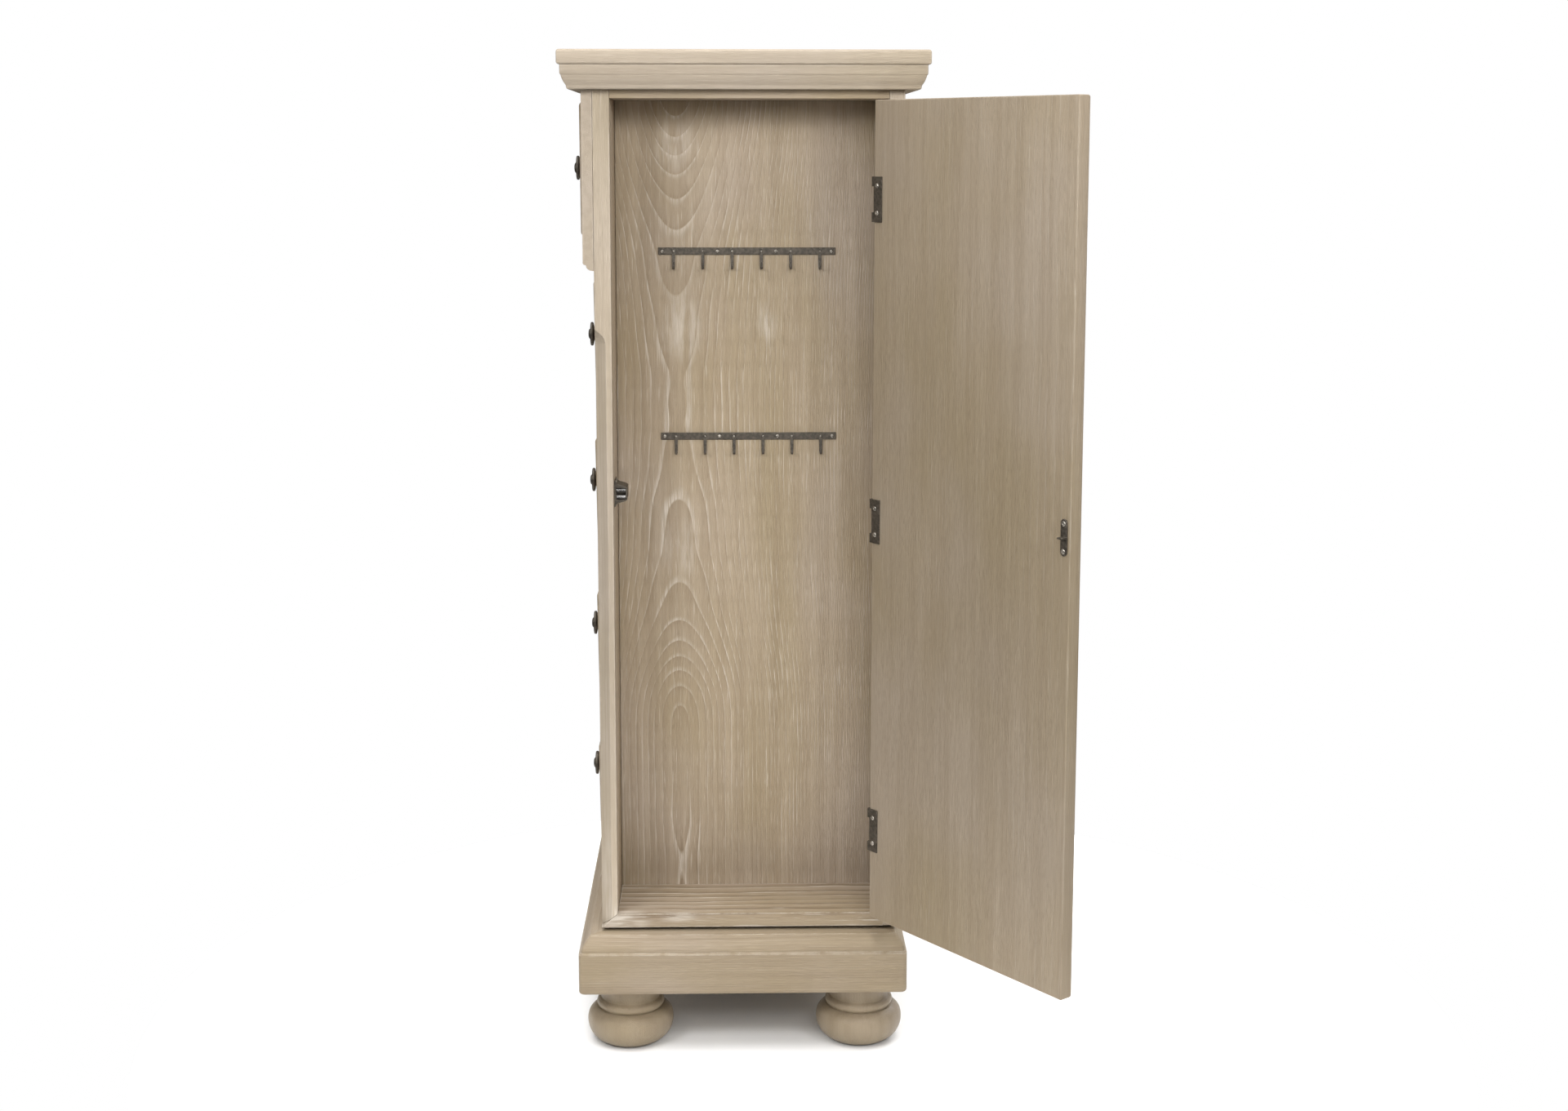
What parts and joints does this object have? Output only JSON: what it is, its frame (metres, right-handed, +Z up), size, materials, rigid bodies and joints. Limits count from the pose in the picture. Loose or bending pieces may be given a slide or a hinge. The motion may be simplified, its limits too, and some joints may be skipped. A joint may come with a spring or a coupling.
{
  "type": "jewelry chest of drawers",
  "caption": "Tall wooden chest with stacked drawers at the front and a full-height hinged side door over a shallow jewelry compartment with hook rails.",
  "frame": {"origin": "on the floor, under the middle of the bounding box of the chest with its side door standing open as shown", "axes": "+Z up, drawers face -Y, the jewelry door is on the +X side"},
  "size_m": [0.8261, 0.6239, 1.32],
  "materials": {
    "bleached_ash": "matte whitewashed open-grain wood",
    "drawer_box_wood": "plain matte wood",
    "dark_pewter": "dark aged satin",
    "roller_steel": "polished"
  },
  "bodies": {
    "case": {"crown_top_board": "bleached_ash", "crown_moulding": "bleached_ash", "frieze_surround": "bleached_ash", "front_post_right": "bleached_ash", "front_post_left": "bleached_ash", "back_post_right": "bleached_ash", "back_post_left": "bleached_ash", "side_panel_left": "bleached_ash", "case_top": "bleached_ash", "case_bottom": "bleached_ash", "back_panel": "bleached_ash", "base_rail": "bleached_ash", "divider_rail_1": "bleached_ash", "divider_rail_2": "bleached_ash", "divider_rail_3": "bleached_ash", "divider_rail_4": "bleached_ash", "compartment_partition": "bleached_ash", "compartment_front_wall": "bleached_ash", "compartment_rear_wall": "bleached_ash", "compartment_floor": "bleached_ash", "plinth": "bleached_ash", "shadow_gap_board": "bleached_ash", "bun_foot_front_left": "bleached_ash", "bun_foot_front_right": "bleached_ash", "bun_foot_back_left": "bleached_ash", "bun_foot_back_right": "bleached_ash", "drawer_1_runner_frame": "drawer_box_wood", "drawer_2_runner_frame": "drawer_box_wood", "drawer_3_runner_frame": "drawer_box_wood", "drawer_4_runner_frame": "drawer_box_wood", "drawer_5_runner_frame": "drawer_box_wood", "hook_rail_upper": "dark_pewter", "hook_rail_lower": "dark_pewter", "catch_body": "dark_pewter", "hinge_1_case_leaf": "dark_pewter", "hinge_2_case_leaf": "dark_pewter", "hinge_3_case_leaf": "dark_pewter", "catch_roller_upper": "roller_steel", "catch_roller_lower": "roller_steel"},
    "door": {"door_panel": "bleached_ash", "hinge_1_door_leaf": "dark_pewter", "hinge_2_door_leaf": "dark_pewter", "hinge_3_door_leaf": "dark_pewter", "strike_plate": "dark_pewter"},
    "drawer_1": {"drawer_1_front": "bleached_ash", "drawer_1_box": "drawer_box_wood", "drawer_1_knob": "dark_pewter"},
    "drawer_2": {"drawer_2_front": "bleached_ash", "drawer_2_box": "drawer_box_wood", "drawer_2_knob": "dark_pewter"},
    "drawer_3": {"drawer_3_front": "bleached_ash", "drawer_3_box": "drawer_box_wood", "drawer_3_knob": "dark_pewter"},
    "drawer_4": {"drawer_4_front": "bleached_ash", "drawer_4_box": "drawer_box_wood", "drawer_4_knob": "dark_pewter"},
    "drawer_5": {"drawer_5_front": "bleached_ash", "drawer_5_box": "drawer_box_wood", "drawer_5_knob": "dark_pewter"}
  },
  "joints": [
    {"name": "door_hinge", "type": "hinge", "parent": "case", "child": "door", "pos_m": [0.113, 0.1055, 0.7215], "axis": [0, 0, 1], "range_deg": [-127, 50]},
    {"name": "drawer_1_slide", "type": "slide", "parent": "case", "child": "drawer_1", "axis": [0, -1, 0], "range_m": [0, 0.28]},
    {"name": "drawer_2_slide", "type": "slide", "parent": "case", "child": "drawer_2", "axis": [0, -1, 0], "range_m": [0, 0.28]},
    {"name": "drawer_3_slide", "type": "slide", "parent": "case", "child": "drawer_3", "axis": [0, -1, 0], "range_m": [0, 0.28]},
    {"name": "drawer_4_slide", "type": "slide", "parent": "case", "child": "drawer_4", "axis": [0, -1, 0], "range_m": [0, 0.28]},
    {"name": "drawer_5_slide", "type": "slide", "parent": "case", "child": "drawer_5", "axis": [0, -1, 0], "range_m": [0, 0.28]}
  ]
}
